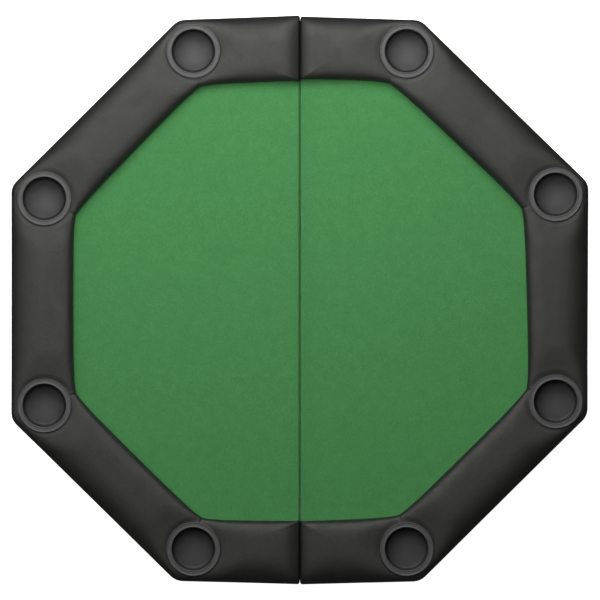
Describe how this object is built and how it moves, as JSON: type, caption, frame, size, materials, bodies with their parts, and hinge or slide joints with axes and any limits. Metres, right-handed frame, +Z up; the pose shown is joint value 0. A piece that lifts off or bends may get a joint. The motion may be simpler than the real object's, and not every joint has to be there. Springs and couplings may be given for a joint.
{
  "type": "folding card table top",
  "caption": "Octagonal folding card table top with felt playing surface, padded rail, lift-out cup holders, hinges and rubber feet.",
  "frame": {"origin": "middle of the footprint, on the surface that the feet stand on", "axes": "+Z up, +Y along the split, +X towards the right half"},
  "size_m": [1.08, 1.063, 0.0518],
  "materials": {
    "board": "matt, raw MDF",
    "felt": "matt wool-look felt",
    "rail_base": "sawn plywood",
    "rail_foam": "open foam",
    "rail_cover": "satin leatherette",
    "cup_plastic": "satin moulded plastic",
    "hinge_steel": "zinc plated",
    "screw_steel": "zinc plated",
    "foot_rubber": "matt"
  },
  "bodies": {
    "left_half": {"left_board": "board", "left_felt": "felt", "left_rail_base": "rail_base", "left_rail_foam": "rail_foam", "left_rail_cover": "rail_cover", "foot_1": "foot_rubber", "foot_screw_1": "screw_steel", "foot_2": "foot_rubber", "foot_screw_2": "screw_steel", "foot_3": "foot_rubber", "foot_screw_3": "screw_steel", "foot_4": "foot_rubber", "foot_screw_4": "screw_steel", "hinge_1_left_leaf": "hinge_steel", "hinge_1_pin": "hinge_steel", "hinge_1_left_screw_1": "screw_steel", "hinge_1_left_screw_2": "screw_steel", "hinge_2_left_leaf": "hinge_steel", "hinge_2_pin": "hinge_steel", "hinge_2_left_screw_1": "screw_steel", "hinge_2_left_screw_2": "screw_steel", "hinge_3_left_leaf": "hinge_steel", "hinge_3_pin": "hinge_steel", "hinge_3_left_screw_1": "screw_steel", "hinge_3_left_screw_2": "screw_steel"},
    "right_half": {"right_board": "board", "right_felt": "felt", "right_rail_base": "rail_base", "right_rail_foam": "rail_foam", "right_rail_cover": "rail_cover", "foot_5": "foot_rubber", "foot_screw_5": "screw_steel", "foot_6": "foot_rubber", "foot_screw_6": "screw_steel", "foot_7": "foot_rubber", "foot_screw_7": "screw_steel", "foot_8": "foot_rubber", "foot_screw_8": "screw_steel", "hinge_1_right_leaf": "hinge_steel", "hinge_1_right_screw_1": "screw_steel", "hinge_1_right_screw_2": "screw_steel", "hinge_2_right_leaf": "hinge_steel", "hinge_2_right_screw_1": "screw_steel", "hinge_2_right_screw_2": "screw_steel", "hinge_3_right_leaf": "hinge_steel", "hinge_3_right_screw_1": "screw_steel", "hinge_3_right_screw_2": "screw_steel"},
    "cup_1": {"cup_holder_1": "cup_plastic"},
    "cup_2": {"cup_holder_2": "cup_plastic"},
    "cup_3": {"cup_holder_3": "cup_plastic"},
    "cup_4": {"cup_holder_4": "cup_plastic"},
    "cup_5": {"cup_holder_5": "cup_plastic"},
    "cup_6": {"cup_holder_6": "cup_plastic"},
    "cup_7": {"cup_holder_7": "cup_plastic"},
    "cup_8": {"cup_holder_8": "cup_plastic"}
  },
  "joints": [
    {"name": "fold", "type": "hinge", "parent": "left_half", "child": "right_half", "pos_m": [0, 0, 0.0045], "axis": [0, 1, 0], "range_deg": [0, 180]},
    {"name": "cup_1_lift", "type": "slide", "parent": "left_half", "child": "cup_1", "axis": [0, 0, 1], "range_m": [0, 0.06]},
    {"name": "cup_2_lift", "type": "slide", "parent": "left_half", "child": "cup_2", "axis": [0, 0, 1], "range_m": [0, 0.06]},
    {"name": "cup_3_lift", "type": "slide", "parent": "left_half", "child": "cup_3", "axis": [0, 0, 1], "range_m": [0, 0.06]},
    {"name": "cup_4_lift", "type": "slide", "parent": "left_half", "child": "cup_4", "axis": [0, 0, 1], "range_m": [0, 0.06]},
    {"name": "cup_5_lift", "type": "slide", "parent": "right_half", "child": "cup_5", "axis": [0, 0, 1], "range_m": [0, 0.06]},
    {"name": "cup_6_lift", "type": "slide", "parent": "right_half", "child": "cup_6", "axis": [0, 0, 1], "range_m": [0, 0.06]},
    {"name": "cup_7_lift", "type": "slide", "parent": "right_half", "child": "cup_7", "axis": [0, 0, 1], "range_m": [0, 0.06]},
    {"name": "cup_8_lift", "type": "slide", "parent": "right_half", "child": "cup_8", "axis": [0, 0, 1], "range_m": [0, 0.06]}
  ]
}
